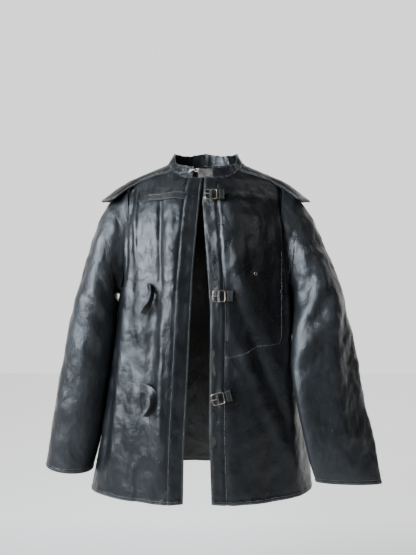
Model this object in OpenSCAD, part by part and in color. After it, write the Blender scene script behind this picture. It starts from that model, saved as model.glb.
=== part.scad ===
/* [Torso] */
// Height of the hem below the collar seam
hem_drop = 752; // [600:1:900]
// Front depth of the body at the hem
front_depth = 138; // [100:1:180]
// Back depth of the body at the hem
back_depth = 142; // [100:1:180]
// Roundness of the horizontal section: 2 is an ellipse
roundness = 2.3; // [2:0.1:4]
// Height over which the shoulder rounds into the chest
shoulder_round = 140; // [80:1:200]
// Leather thickness of panels, yoke and sleeves
leather = 3; // [2:0.5:4]
// Width of the facing behind each front edge
facing_w = 31; // [20:1:50]

/* [Yoke and collar] */
// Half width of the neck opening
neck_half = 90; // [70:1:100]
// Reach of the free shoulder flap from the middle
flap_reach = 247; // [200:1:280]
// Drop of the yoke seam below the shoulder line, in front
yoke_drop_front = 17; // [10:1:60]
// Depth of the yoke seam at the back below the collar seam
yoke_back_low = 76; // [40:1:78]

/* [Sleeves] */
// Swing of a lower sleeve starts at this station of the sleeve
sleeve_cut = 4; // [3:1:5]
// Number of sides of a sleeve's rings
sleeve_sides = 28; // [20:4:48]

/* [Straps and buckles] */
// Width of a closure strap
strap_w = 18; // [14:1:24]
// Thickness of strap leather
strap_t = 2.5; // [2:0.5:4]
// Outer length of a buckle frame, across the centre bar
buckle_len = 28; // [22:1:36]
// Outer height of a buckle frame, along the centre bar
buckle_h = 25.5; // [20:0.5:34]
// Radius of the buckle wire
wire_r = 1.3; // [1:0.1:2]
// Height of the buckle frame above the placket
buckle_lift = 7; // [6:0.5:10]

/* [Hidden] */

seam_gap = 0.6;      // clear space between two pieces that are sewn edge to edge
layer_gap = 0.4;     // clear space between two layers of leather
lining_t = 2;        // facing and pocket leather
lining_gap = 2.1;    // clear space behind a front panel

black = [0.09, 0.09, 0.10];
brown = [0.12, 0.10, 0.09];
metal = [0.52, 0.40, 0.28];
cloth = [0.35, 0.33, 0.29];

// Half width of the body on each side, by height
right_half = [[-760, 270], [-697, 259], [-622, 245], [-502, 228], [-395, 213], [-304, 205],
              [-150, 196], [-50, 192], [60, 190]];
left_half = [[-760, 251], [-622, 236], [-500, 222], [-380, 209], [-304, 201],
             [-150, 196], [-50, 192], [60, 190]];
// Depth of the body in front and behind, by height
front_by_z = [[-760, front_depth], [-450, 130], [-300, 127], [-200, 124], [-150, 115],
              [-84, 97], [-36, 68], [0, 60], [60, 50]];
back_by_z = [[-760, back_depth], [-400, 124], [-150, 116], [-36, 106], [20, 100], [60, 92]];
// Height of the shoulder line, by distance from the middle
shoulder_by_x = [[0, 62], [30, 50], [60, 28], [88, 6], [113, -5], [147, -19], [178, -33],
                 [215, -58], [250, -84]];

// Least share of the body's depth that the yoke keeps as it leaves the body, by distance from the middle
flap_width = [[140, 0.5], [165, 0.6], [206, 0.8], [250, 0.8]];

// Front edge of each front panel, by height
right_edge_by_z = [[-760, -48], [-637, -46], [-450, -37], [-263, -28], [-38, -9]];
left_edge_by_z = [[-760, 13], [-585, 7], [-332, 10], [-257, 5], [-96, -7], [-38, -3]];
// Angle of the armhole edge round the body, by height: 90 is the side seam
armhole_by_z = [[-300, 90], [-292, 78], [-278, 67], [-255, 60], [-220, 58], [-150, 62], [-40, 66]];

// Collar
front_tilt = 72.5;   // where the neck ring crosses the middle in front, as an angle over the shoulder
back_tilt = 45.6;    // and at the back
collar_right_end = 20;   // degrees round the neck ring from the middle
collar_left_end = 10;

// Height of the collar's top edge, by turn away from the middle of the front
collar_top = [[0, -10], [25, -9], [58, 1], [66, 7], [77, 27], [90, 34], [120, 38], [150, 42], [180, 50]];

// Sleeve stations: [outer point, inner point, half depth]
right_stations = [
    [[188, 2, -46], [205, 2, -301], 58],
    [[219, 1, -73], [210, 0, -303], 62],
    [[246, 0, -112], [209, -2, -308], 64],
    [[271, -2, -180], [211, -5, -322], 64],
    [[295, -6, -263], [214, -8, -348], 64],
    [[315, -8, -346], [218, -10, -397], 60],
    [[332, -10, -430], [226, -12, -460], 57],
    [[346, -10, -514], [236, -14, -530], 54],
    [[362, -10, -618], [250, -15, -625], 50],
    [[375, -10, -698], [266, -15, -711], 47]
];
left_stations = [
    [[188, 2, -46], [201, 2, -301], 58],
    [[219, 1, -73], [204, -3, -303], 60],
    [[247, -2, -112], [203, -12, -308], 60],
    [[277, -5, -180], [204, -32, -322], 58],
    [[306, -12, -263], [203, -60, -348], 54],
    [[327, -24, -346], [197, -90, -397], 43],
    [[343, -38, -430], [192, -102, -456], 32],
    [[355, -52, -514], [199, -112, -522], 26],
    [[373, -72, -630], [220, -114, -626], 21],
    [[388, -86, -714], [237, -108, -702], 18]
];

// Straps: [middle x of the anchor's left edge, anchor length, height]
strap_top = [-127, 26, -83];
strap_middle = [-152, 27, -283];
strap_lower = [-172, 32, -498];

// Buckles: [x, z, turn in the plane of the placket]
buckle_top = [11.5, -84, 0];
buckle_middle = [28, -301, 0];
buckle_lower = [26, -516, -14];

// ---------------------------------------------------------------- functions

function side_half(x, z) = x < 0 ? lookup(z, right_half) : lookup(z, left_half);
function shoulder_z(x) = lookup(abs(x), shoulder_by_x);

// How far the body has filled out at a drop below the shoulder line: 0 at the line, 1 when full
function fill_out(drop) =
    drop >= shoulder_round ? 1
    : drop <= 0 ? 0
    : sqrt(1 - pow(1 - drop / shoulder_round, 2));

// Share of the full depth that is left at a share of the half width
function round_off(share) = pow(max(1 - pow(min(abs(share), 1), roundness), 0), 1 / roundness);

// Front and back surface as a depth for a place seen from the front
function front_y(x, z) =
    -lookup(z, front_by_z) * round_off(x / side_half(x, z)) * fill_out(shoulder_z(x) - z);
function back_y(x, z) =
    lookup(z, back_by_z) * round_off(x / side_half(x, z)) * fill_out(shoulder_z(x) - z);

// Angle round the body of a place seen from the front, 0 in the middle and 90 at the side seam
function angle_at(x, z) = asin(pow(min(abs(x) / side_half(x, z), 1), roundness / 2)) * sign(x);

// A point of the body at an angle and a height; way is -1 in front and 1 behind
function body_point(angle, z, way) =
    let (half = side_half(angle, z),
         x = sign(angle) * half * pow(sin(abs(angle)), 2 / roundness),
         deep = way < 0 ? lookup(z, front_by_z) : lookup(z, back_by_z))
    [x, way * deep * pow(max(cos(angle), 0), 2 / roundness) * fill_out(shoulder_z(x) - z), z];

// A point over the shoulder at an angle from the shoulder line, negative in front
function over_shoulder(x, tilt) =
    let (z = shoulder_z(x) - shoulder_round * (1 - cos(tilt)),
         deep = tilt < 0 ? lookup(z, front_by_z) : lookup(z, back_by_z),
         width = max(round_off(x / side_half(x, z)), lookup(abs(x), flap_width)))
    [x, deep * width * sin(tilt), z];

function tilt_of_drop(drop) = acos(1 - drop / shoulder_round);

// The neck ring, from 0 in front round to 180 behind, negative on the right
function neck_tilt(turn) = -(abs(turn) < 90 ? front_tilt : back_tilt) * cos(turn);
function neck_point(turn) = over_shoulder(neck_half * sin(turn), neck_tilt(turn));

function unit(v) = v / max(norm(v), 1e-9);
function mix(a, b, t) = a + (b - a) * t;

// Place at share t along a list of values, by straight pieces
function along(list, t) =
    let (at = t * (len(list) - 1), i = min(floor(at), len(list) - 2))
    mix(list[i], list[i + 1], at - i);

// Smooth place at share t along a list of points
function curve_at(list, t) =
    let (last = len(list) - 1,
         at = t * last,
         i = min(floor(at), last - 1),
         f = at - i,
         a = list[max(i - 1, 0)], b = list[i], c = list[i + 1], d = list[min(i + 2, last)])
    0.5 * ((2 * b) + (c - a) * f + (2 * a - 5 * b + 4 * c - d) * f * f
           + (3 * b - a - 3 * c + d) * f * f * f);

function normal_at(grid, i, j, closed) =
    let (n = len(grid[0]),
         before = closed ? (j + n - 1) % n : max(j - 1, 0),
         after = closed ? (j + 1) % n : min(j + 1, n - 1),
         across = grid[i][after] - grid[i][before],
         down = grid[min(i + 1, len(grid) - 1)][j] - grid[max(i - 1, 0)][j])
    unit(cross(down, across));

// The grid moved along its normals
function moved(grid, by, closed = false) = [
    for (i = [0 : len(grid) - 1]) [
        for (j = [0 : len(grid[0]) - 1]) grid[i][j] + by * normal_at(grid, i, j, closed)
    ]
];

// ---------------------------------------------------------------- sheets

// A closed solid between a skin and the same skin moved in by a thickness
module sheet(skin, thick, closed = false) {
    rows = len(skin);
    cols = len(skin[0]);
    inner = moved(skin, -thick, closed);
    points = concat([for (row = skin) each row], [for (row = inner) each row]);
    back = rows * cols;
    wide = closed ? cols : cols - 1;
    function at(i, j) = i * cols + (j % cols);
    quads = [for (i = [0 : rows - 2]) for (j = [0 : wide - 1])
        [at(i, j), at(i, j + 1), at(i + 1, j + 1), at(i + 1, j)]];
    outside = [for (q = quads) each [[q[0], q[1], q[2]], [q[0], q[2], q[3]]]];
    inside = [for (f = outside) [f[2] + back, f[1] + back, f[0] + back]];
    ends = [for (j = [0 : wide - 1]) each concat(
        rim(at(0, j + 1), at(0, j), back),
        rim(at(rows - 1, j), at(rows - 1, j + 1), back))];
    sides = closed ? [] : [for (i = [0 : rows - 2]) each concat(
        rim(at(i, 0), at(i + 1, 0), back),
        rim(at(i + 1, cols - 1), at(i, cols - 1), back))];
    polyhedron(points = points, faces = concat(outside, inside, ends, sides), convexity = 10);
}

function rim(a, b, back) = [[a, b, b + back], [a, b + back, a + back]];

// ---------------------------------------------------------------- body panels

panel_cols = 15;
panel_levels = [0, 0.03, 0.07, 0.12, 0.18, 0.23, 0.27, 0.3, 0.315, 0.33, 0.345, 0.36, 0.38, 0.42,
                0.48, 0.55, 0.63, 0.72, 0.81, 0.9, 0.96, 1];

// Top edge of a front panel at a distance from the middle: the collar seam, then the yoke seam
function front_top(x) =
    let (turn = asin(min(abs(x) / neck_half, 1)),
         tilt = abs(x) < neck_half * sin(58) ? neck_tilt(turn) : lookup(abs(x), front_seam))
    over_shoulder(x, tilt)[2] - 6 * seam_gap;

back_top = -yoke_back_low - seam_gap;

// A point of a front panel at a share of its width, from the front edge to the armhole or side seam
function front_point(side, share, z) =
    let (edge = side < 0 ? lookup(z, right_edge_by_z) : lookup(z, left_edge_by_z),
         spread = share * (1.15 - 0.15 * share))
    body_point(mix(angle_at(edge, z), side * (lookup(z, armhole_by_z) - 0.2), spread), z, -1);

// How much the hem of a panel rises above the side seam's foot, at a share of its width
function front_hem_rise(side, share) = side < 0 ? 14 - 14 * pow(share, 2) - 8 * pow(share, 4) : 11 - 5 * pow(share, 2);
function back_hem_rise(share) = 6 * pow(max(0, share), 2) - 8 * pow(min(0, share), 4);

// Height of a front panel's top edge at a share of its width, found by a few tries
function front_top_at(side, share, x, tries = 6) =
    let (z = front_top(x))
    tries == 0 ? z : front_top_at(side, share, (x + front_point(side, share, z)[0]) / 2, tries - 1);

// A front panel; side is -1 for the wearer's right and 1 for the left
function front_grid(side) = [
    for (level = panel_levels) [
        for (c = [0 : panel_cols - 1])
            let (share = c / (panel_cols - 1),
                 top = front_top_at(side, share, side * 178 * share),
                 z = mix(top, -hem_drop + front_hem_rise(side, share), level))
            front_point(side, share, z)
    ]
];

back_cols = 27;
function back_grid() = [
    for (level = panel_levels) [
        for (c = [0 : back_cols - 1])
            let (share = 1 - 2 * c / (back_cols - 1),
                 z = mix(back_top, -hem_drop + back_hem_rise(share), level),
                 angle = share * (lookup(z, armhole_by_z) - 0.2))
            body_point(angle, z, 1)
    ]
];

function reversed(grid) = [for (row = grid) [for (j = [len(row) - 1 : -1 : 0]) row[j]]];

function right_skin() = reversed(front_grid(-1));
function left_skin() = front_grid(1);

module front_right_panel() {
    color(black) sheet(right_skin(), leather);
}

module front_left_panel() {
    color(black) sheet(left_skin(), leather);
}

module back_panel() {
    color(black) sheet(back_grid(), leather);
}

// A patch on the front surface; columns run from one edge to the other at each height
function front_patch(low, high, rows, from, wide, cols) = [
    for (i = [0 : rows]) [
        for (j = [0 : cols])
            let (z = mix(high, low, i / rows), x = lookup(z, from) + wide * j / cols)
            [x, front_y(x, z), z]
    ]
];

module front_right_facing() {
    skin = front_patch(-hem_drop + 23, -84, 24,
        [for (p = right_edge_by_z) [p[0], p[1] - facing_w - 1]], facing_w, 3);
    color(brown) sheet(moved(skin, -leather - lining_gap), lining_t);
}

module front_left_facing() {
    skin = front_patch(-hem_drop + 23, -84, 24, [for (p = left_edge_by_z) [p[0], p[1] + 1]], facing_w, 3);
    color(brown) sheet(moved(skin, -leather - lining_gap), lining_t);
}

module pocket_bag() {
    skin = front_patch(-422, -190, 7, [[-422, 45], [-190, 45]], 112, 6);
    color(brown) sheet(moved(skin, -leather - lining_gap), lining_t);
}

// ---------------------------------------------------------------- yoke

// From the tip of the flap along its front edge and the yoke seam, then round the neck to the back
yoke_start = [
    [flap_reach, -4], [236, -24], [222, -35], [206, -39], [190, -tilt_of_drop(yoke_drop_front + 8)],
    [150, -tilt_of_drop(yoke_drop_front)], [112, -tilt_of_drop(yoke_drop_front + 4)],
    [neck_half * sin(58), -front_tilt * cos(58)], [neck_half * sin(72), -front_tilt * cos(72)],
    [neck_half, 0], [neck_half * sin(115), back_tilt * cos(65)],
    [neck_half * sin(140), back_tilt * cos(40)], [neck_half * sin(162), back_tilt * cos(18)],
    [0, back_tilt]
];
// The lower edge at the back, from the tip to the middle
yoke_end = concat([[flap_reach, 4], [236, 17], [221, 25], [206, 30], [192, 40]],
    [for (x = [178, 160, 140, 118, 96, 72, 48, 24, 0]) [x, tilt_of_drop(shoulder_z(x) + yoke_back_low)]]);
yoke_cols = 2 * len(yoke_start) - 2;
// The front edge by distance from the middle, for the panel that meets it
front_seam = [for (i = [7 : -1 : 0]) yoke_start[i]];

function yoke_grid() = [
    for (i = [0 : 9]) [
        for (j = [0 : yoke_cols])
            let (k = j < len(yoke_start) ? j : yoke_cols - j,
                 way = j < len(yoke_start) ? 1 : -1,
                 a = yoke_start[k],
                 b = yoke_end[k],
                 p = mix(a, [b[0], b[1] - 0.35], i / 9))
            over_shoulder(way * p[0], p[1])
    ]
];

module yoke() {
    color(black) sheet(moved(yoke_grid(), 0.3), leather);
}

// ---------------------------------------------------------------- sleeves

saddle = 9;   // how far the sleeve head reaches in to the armhole edge, front and back

function mirrored(p, side) = [side * p[0], p[1], p[2]];

function sleeve_ring(stations, t, side) =
    let (outer = curve_at([for (s = stations) s[0]], t),
         inner = curve_at([for (s = stations) s[1]], t),
         deep = curve_at([for (s = stations) s[2]], t),
         middle = (outer + inner) / 2,
         reach = (outer - inner) / 2,
         next = curve_at([for (s = stations) (s[0] + s[1]) / 2], min(t + 0.02, 1)),
         last = curve_at([for (s = stations) (s[0] + s[1]) / 2], max(t - 0.02, 0)),
         front = unit(cross(next - last, reach)))
    [for (k = [0 : sleeve_sides - 1])
        let (turn = 360 * k / sleeve_sides, pull = [saddle * max(0, 1 - 6 * t) * pow(sin(turn), 2), 0, 0])
        mirrored(middle + reach * cos(turn) + front * deep * sin(turn) - pull, side)];

function sleeve_grid(stations, from, to, steps, side) = [
    for (i = [0 : steps]) sleeve_ring(stations, mix(from, to, i / steps), side)
];

function cut_share(stations) = sleeve_cut / (len(stations) - 1);

module sleeve_upper(stations, side) {
    grid = sleeve_grid(stations, 0, cut_share(stations) - 0.0012, 9, side);
    color(black) sheet(side > 0 ? reversed(grid) : grid, leather, closed = true);
}

module sleeve_lower(stations, side) {
    grid = sleeve_grid(stations, cut_share(stations) + 0.0012, 1, 11, side);
    color(black) sheet(side > 0 ? reversed(grid) : grid, leather, closed = true);
}

// ---------------------------------------------------------------- collar

collar_rows = 4;
collar_cols = 44;

// The stand collar leans in towards its top edge and dips slightly at the sides
function collar_point(turn, share) =
    let (base = neck_point(turn),
         lean = 1 - 0.17 * share * (1 - 0.4 * cos(turn) * cos(turn)),
         top = lookup(abs(turn), collar_top))
    [base[0] * lean, base[1] * lean + 3 * share, mix(base[2] + 4.2, top, share)];

function collar_grid(inset) = [
    for (i = [0 : collar_rows]) [
        for (j = [0 : collar_cols])
            let (turn = mix(-360 + collar_left_end + inset, -collar_right_end - inset, j / collar_cols))
            collar_point(turn < -180 ? turn + 360 : turn, 1 - i / collar_rows)
    ]
];

module collar_band() {
    color(black) sheet(collar_grid(0), lining_t);
}

module collar_facing() {
    color(brown) sheet(moved(collar_grid(1.5), -lining_t - layer_gap), lining_t);
}

// The tab bridges the gap of the collar from behind
module collar_tab() {
    turns = [for (j = [0 : 6]) mix(-12, 24, j / 6)];
    grid = [for (share = [0.86, 0.5, 0.1]) [for (turn = turns) collar_point(turn, share)]];
    color(cloth) sheet(moved(grid, -2 * lining_t - 2 * layer_gap - 0.6), 1.6);
}

hook_turn = -24.5;
eye_step = 14.3;   // from the hook's base to the middle of the eye

// Places a child on the collar, its own -Y facing out
module on_collar(turn, share, lift) {
    at = collar_point(turn, share);
    rise = collar_point(turn, share + 0.2) - collar_point(turn, share - 0.2);
    step = collar_point(turn + 3, share) - collar_point(turn - 3, share);
    out = unit(cross(step, rise));
    translate(at + out * lift)
        rotate([0, 0, atan2(step[1], step[0])])
            rotate([-atan2(rise[1], rise[2]), 0, 0])
                children();
}

// A flat base with a wire that runs to the eye and turns back behind it
module collar_hook() {
    color(metal) on_collar(hook_turn, 0.52, 1.1) {
        translate([-3, -0.5, -4])
            cube([6, 1, 8]);
        translate([1, -2.3, 0])
            rotate([0, 90, 0])
                cylinder(r = 0.8, h = 10, $fn = 24);
        translate([0, -2.3, -2])
            cube([2, 2, 4]);
        translate([11, -0.5, 0])
            rotate([0, 0, -90])
                rotate_extrude(angle = 180, $fn = 32)
                    translate([1.8, 0])
                        circle(r = 0.8, $fn = 24);
    }
}

// A wire ring with two sewing loops
module collar_eye() {
    color(metal) on_collar(hook_turn, 0.52, 1.1) {
        translate([eye_step, -0.5, 0])
            rotate([90, 0, 0])
                rotate_extrude($fn = 40)
                    translate([3.4, 0])
                        circle(r = 0.7, $fn = 24);
        for (way = [-1, 1])
            translate([eye_step + 4, -0.5, way * 3.1])
                rotate([90, 0, 0])
                    rotate_extrude($fn = 32)
                        translate([1.7, 0])
                            circle(r = 0.7, $fn = 24);
    }
}

// ---------------------------------------------------------------- things on the panels

// Slope of the front surface at a place: the turn about X, then about Z
function slope_x(x, z) = atan2(front_y(x, z + 6) - front_y(x, z - 6), 12);
function slope_z(x, z) = atan2(front_y(x + 6, z) - front_y(x - 6, z), 12);

// Places a child on the front surface: its X runs across, its -Y faces out
module on_front(x, z, lift = 0) {
    translate([x, front_y(x, z), z])
        rotate([-slope_x(x, z), 0, 0])
            rotate([0, 0, slope_z(x, z)])
                translate([0, -lift, 0])
                    children();
}

module chest_eyelets() {
    color(metal) for (at = [[94, -252], [107, -254]])
        on_front(at[0], at[1], 1.2)
            rotate([90, 0, 0])
                rotate_extrude($fn = 40)
                    translate([3, 0])
                        circle(r = 0.8, $fn = 24);
}

module strap_anchor(strap) {
    skin = front_patch(strap[2] - strap_w / 2, strap[2] + strap_w / 2, 3,
        [[-800, strap[0]], [0, strap[0]]], strap[1], 4);
    color(black) sheet(moved(skin, layer_gap + strap_t), strap_t);
}

// A free end: a ribbon through places given as [x, z, lift, turn of its width from upright, share of width]
module ribbon(places) {
    mid = [for (t = [0 : 1 / 14 : 1.001]) curve_at(places, min(t, 1))];
    skin = [for (way = [1, 0.33, -0.33, -1]) [
        for (p = mid)
            let (half = way * strap_w / 2 * p[4],
                 x = p[0] + half * sin(p[3]) * cos(p[5]),
                 z = p[1] + half * cos(p[3]) * cos(p[5]))
            [x, front_y(x, z) - p[2] - half * sin(p[5]), z]
    ]];
    color(black) sheet(skin, strap_t);
}

strap_gap = 0.6;
module strap_top_free() {
    x = strap_top[0] + strap_top[1] + strap_gap;
    z = strap_top[2];
    ribbon([[x, z, 3.4, 0, 1, 0], [x + 16, z + 1, 7, 0, 1, 0], [x + 34, z + 2, 8, 0, 1, 0],
            [x + 50, z, 6.5, 0, 1, 0], [x + 55, z - 1, 5.5, 0, 0.92, 0]]);
}

module strap_middle_free() {
    x = strap_middle[0] + strap_middle[1] + strap_gap;
    z = strap_middle[2];
    ribbon([[x, z, 3.4, 0, 1, 0], [x + 7, z - 3, 11, -15, 1, 20], [x + 10, z - 13, 16, -42, 1, 60],
            [x + 6, z - 28, 15, -78, 1, 66], [x - 2, z - 44, 15, -72, 1, 40], [x - 9, z - 56, 15, -62, 0.75, 24]]);
}

module strap_lower_free() {
    x = strap_lower[0] + strap_lower[1] + strap_gap;
    z = strap_lower[2];
    ribbon([[x, z, 3.4, 0, 1, 0], [x + 14, z - 1, 9, 10, 1, 0], [x + 27, z - 9, 15, 52, 1, -20],
            [x + 30, z - 24, 16, 82, 1, -42], [x + 24, z - 42, 14, 106, 1, -50], [x + 12, z - 58, 13, 118, 0.7, -40]]);
}

// ---------------------------------------------------------------- buckles

// Places a child at a buckle: the centre bar is its Z axis, out is -Y
module at_buckle(buckle) {
    on_front(buckle[0], buckle[1], buckle_lift)
        rotate([0, buckle[2], 0])
            children();
}

// Wire frame with rounded corners and a centre bar
module buckle_frame(buckle) {
    half = buckle_len / 2 - wire_r;
    tall = buckle_h / 2 - wire_r;
    corner = 4;
    color(metal) at_buckle(buckle) {
        cylinder(r = wire_r, h = 2 * tall, center = true, $fn = 32);
        for (side = [-1, 1]) {
            translate([side * half, 0, 0])
                cylinder(r = wire_r, h = 2 * (tall - corner), center = true, $fn = 32);
            translate([0, 0, side * tall])
                rotate([0, 90, 0])
                    cylinder(r = wire_r, h = 2 * (half - corner), center = true, $fn = 32);
            for (end = [-1, 1])
                translate([side * (half - corner), 0, end * (tall - corner)])
                    rotate([90, 0, 0])
                        rotate([0, 0, (side > 0 ? 0 : 180) + (side * end > 0 ? 0 : -90)])
                            rotate_extrude(angle = 90, $fn = 48)
                                translate([corner, 0])
                                    circle(r = wire_r, $fn = 32);
        }
    }
}

tongue_r = 1;
bar_clear = 0.08;
// An eye round the centre bar and a prong that rests over the frame's far side
module buckle_tongue(buckle) {
    color(metal) at_buckle(buckle) difference() {
        union() {
            cylinder(r = wire_r + 1.5, h = 2.6, center = true, $fn = 48);
            translate([-1.2, -1.75, 0])
                rotate([0, -90, 6])
                    cylinder(r = tongue_r, h = buckle_len / 2 + 0.6, $fn = 32);
        }
        cylinder(r = wire_r + bar_clear, h = 8, center = true, $fn = 48);
    }
}

chape_t = 1.5;
chape_end = 17;
// Leather folded round the centre bar, slotted for the tongue, its tail sewn to the placket
module buckle_chape(buckle) {
    bore = wire_r + 0.25;
    color(black) at_buckle(buckle) difference() {
        linear_extrude(height = strap_w - 1, center = true) difference() {
            union() {
                circle(r = bore + chape_t, $fn = 48);
                polygon([[0, bore + chape_t], [0, 1], [2.9, 0], [8, 3.4], [chape_end, 3.9],
                         [chape_end, buckle_lift - layer_gap - 0.4], [5, buckle_lift - layer_gap - 0.4]]);
            }
            circle(r = bore, $fn = 48);
        }
        cube([12, 12, 3.4], center = true);
    }
}

keeper_w = 10;
keeper_wall = 1.5;
keeper_open = 6;
// A loop of leather beside the frame that the strap's end passes through
module buckle_keeper(buckle) {
    color(black) at_buckle(buckle)
        translate([chape_end + 1 + keeper_w / 2, buckle_lift - layer_gap - 0.5 - keeper_wall - keeper_open / 2, 0])
            difference() {
                cube([keeper_w, keeper_open + 2 * keeper_wall, strap_w + 2 + 2 * keeper_wall], center = true);
                cube([keeper_w + 2, keeper_open, strap_w + 2], center = true);
            }
}

// ---------------------------------------------------------------- the part

front_right_panel();
front_left_panel();
back_panel();
yoke();
front_right_facing();
front_left_facing();
pocket_bag();
sleeve_upper(right_stations, -1);  // sleeve_right_upper
sleeve_lower(right_stations, -1);  // sleeve_right_lower
sleeve_upper(left_stations, 1);  // sleeve_left_upper
sleeve_lower(left_stations, 1);  // sleeve_left_lower
collar_band();
collar_facing();
collar_tab();
collar_hook();
collar_eye();
chest_eyelets();
strap_anchor(strap_top);  // strap_top_anchor
strap_top_free();
strap_anchor(strap_middle);  // strap_middle_anchor
strap_middle_free();
strap_anchor(strap_lower);  // strap_lower_anchor
strap_lower_free();
buckle_frame(buckle_top);  // buckle_top_frame
buckle_tongue(buckle_top);  // buckle_top_tongue
buckle_chape(buckle_top);  // buckle_top_chape
buckle_keeper(buckle_top);  // buckle_top_keeper
buckle_frame(buckle_middle);  // buckle_middle_frame
buckle_tongue(buckle_middle);  // buckle_middle_tongue
buckle_chape(buckle_middle);  // buckle_middle_chape
buckle_keeper(buckle_middle);  // buckle_middle_keeper
buckle_frame(buckle_lower);  // buckle_lower_frame
buckle_tongue(buckle_lower);  // buckle_lower_tongue
buckle_chape(buckle_lower);  // buckle_lower_chape
buckle_keeper(buckle_lower);  // buckle_lower_keeper
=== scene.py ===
"""The looks of a leather welding jacket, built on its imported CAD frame."""

import math

import bpy
import numpy as np
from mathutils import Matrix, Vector, noise


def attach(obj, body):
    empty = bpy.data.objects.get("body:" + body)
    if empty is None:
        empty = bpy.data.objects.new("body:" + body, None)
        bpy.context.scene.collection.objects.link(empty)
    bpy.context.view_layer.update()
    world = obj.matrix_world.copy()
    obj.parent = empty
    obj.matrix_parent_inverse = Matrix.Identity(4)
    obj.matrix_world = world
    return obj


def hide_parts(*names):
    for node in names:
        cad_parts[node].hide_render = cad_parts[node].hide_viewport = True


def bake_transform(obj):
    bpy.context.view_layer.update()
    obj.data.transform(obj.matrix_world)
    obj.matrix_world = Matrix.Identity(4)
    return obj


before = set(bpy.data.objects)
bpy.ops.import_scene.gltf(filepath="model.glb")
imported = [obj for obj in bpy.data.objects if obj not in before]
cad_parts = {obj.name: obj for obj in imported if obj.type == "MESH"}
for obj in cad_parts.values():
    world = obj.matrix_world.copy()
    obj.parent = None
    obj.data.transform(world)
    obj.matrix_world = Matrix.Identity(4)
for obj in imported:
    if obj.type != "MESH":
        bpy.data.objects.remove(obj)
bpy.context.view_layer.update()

MM = 0.001

# ---------------------------------------------------------------- camera


def add_camera():
    """A level camera at chest height in front of the jacket."""
    data = bpy.data.cameras.new("camera")
    data.sensor_width = 36
    data.lens = 30.6
    camera = bpy.data.objects.new("camera", data)
    camera.location = (0.005, -1.125, -0.262)
    camera.rotation_euler = (math.radians(90), 0, 0)
    bpy.context.scene.collection.objects.link(camera)
    bpy.context.scene.camera = camera


add_camera()

# ---------------------------------------------------------------- the cut of the jacket, in millimetres

# The hem lies this far below the origin.
HEM_DROP = 752
# Power of the rounded body section: 2 is an ellipse, more is boxier.
ROUNDNESS = 2.3
# Radius of the turn over the shoulder.
SHOULDER_ROUND = 140
NECK_HALF = 90
# How far the yoke's lower edge lies below the shoulder line in front, and below the origin behind.
YOKE_DROP = 17
YOKE_BACK_LOW = 76
FLAP_REACH = 247
# Angles over the shoulder at which the neck seam lies in front and behind.
FRONT_TILT = 72.5
BACK_TILT = 45.6
FACING_W = 33
STRAP_W = 18
# Thicknesses of the leather and of the layers behind it.
LEATHER = 1.8
COLLAR_LEATHER = 1.7
COLLAR_LINING = 1.4
THIN_LAYER = 1.2
STRAP_LEATHER = 2.2
CHAPE_LEATHER = 0.9
KEEPER_LEATHER = 1.4

# Each table holds places and the values there. The first four run by height: the half widths
# of the body on its right and left, and its depths in front and behind.
RIGHT_HALF = (
    (-760, -697, -622, -502, -395, -304, -150, -50, 60),
    (270, 259, 245, 228, 213, 205, 196, 192, 190),
)
LEFT_HALF = ((-760, -622, -500, -380, -304, -150, -50, 60), (251, 236, 222, 209, 201, 196, 192, 190))
FRONT_DEPTH = ((-760, -450, -300, -200, -150, -84, -36, 0, 60), (138, 130, 127, 124, 115, 97, 68, 60, 50))
BACK_DEPTH = ((-760, -400, -150, -36, 20, 60), (142, 124, 116, 106, 100, 92))
# Height of the shoulder line, by the distance from the middle.
SHOULDER = ((0, 30, 60, 88, 113, 147, 178, 215, 250), (62, 50, 28, 6, -5, -19, -33, -58, -84))
# The two front edges, by height.
RIGHT_EDGE = ((-760, -637, -450, -263, -38), (-48, -46, -37, -28, -9))
LEFT_EDGE = ((-760, -585, -332, -257, -96, -38), (13, 7, 10, 5, -7, -3))
# Height of the collar's top edge, by the angle round the neck from the front.
COLLAR_TOP = ((0, 25, 58, 66, 77, 90, 120, 150, 180), (-10, -9, 1, 7, 27, 34, 38, 42, 50))
# Share of the body's depth that the flap keeps, by the distance from the middle.
FLAP_WIDTH = ((140, 165, 206, 250), (0.5, 0.6, 0.8, 0.8))
# Angle round the body of the armhole and, below it, of the side seam, by height.
ARMHOLE = ((-300, -292, -278, -255, -220, -150, -40), (90, 78, 67, 60, 58, 62, 66))


def look(table, at):
    """A value from a table, by straight pieces."""
    return np.interp(at, table[0], table[1])


def smooth(low, high, at):
    """0 below low, 1 above high and a soft step between."""
    t = np.clip((at - low) / (high - low), 0, 1)
    return t * t * (3 - 2 * t)


def hump(at, centre, width):
    """A soft bump of height 1."""
    return np.exp(-(((at - centre) / width) ** 2))


def side_half(side, z):
    """Half width of the body on one side; a negative side is the jacket's right."""
    return np.where(side < 0, look(RIGHT_HALF, z), look(LEFT_HALF, z))


def fill_out(drop):
    """How far the body has filled out at a drop below the shoulder line."""
    left = 1 - np.clip(drop / SHOULDER_ROUND, 0, 1)
    return np.sqrt(1 - left * left)


def round_off(share):
    """Depth of the rounded section at a share of its half width."""
    return np.clip(1 - np.minimum(np.abs(share), 1) ** ROUNDNESS, 0, 1) ** (1 / ROUNDNESS)


def front_y(x, z):
    """Y of the front surface at a place seen from the front."""
    return -look(FRONT_DEPTH, z) * round_off(x / side_half(x, z)) * fill_out(look(SHOULDER, np.abs(x)) - z)


def angle_at(x, z):
    """Angle round the body of a place seen from the front, in degrees."""
    share = np.minimum(np.abs(x) / side_half(x, z), 1) ** (ROUNDNESS / 2)
    return np.degrees(np.arcsin(share)) * np.sign(x)


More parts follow.
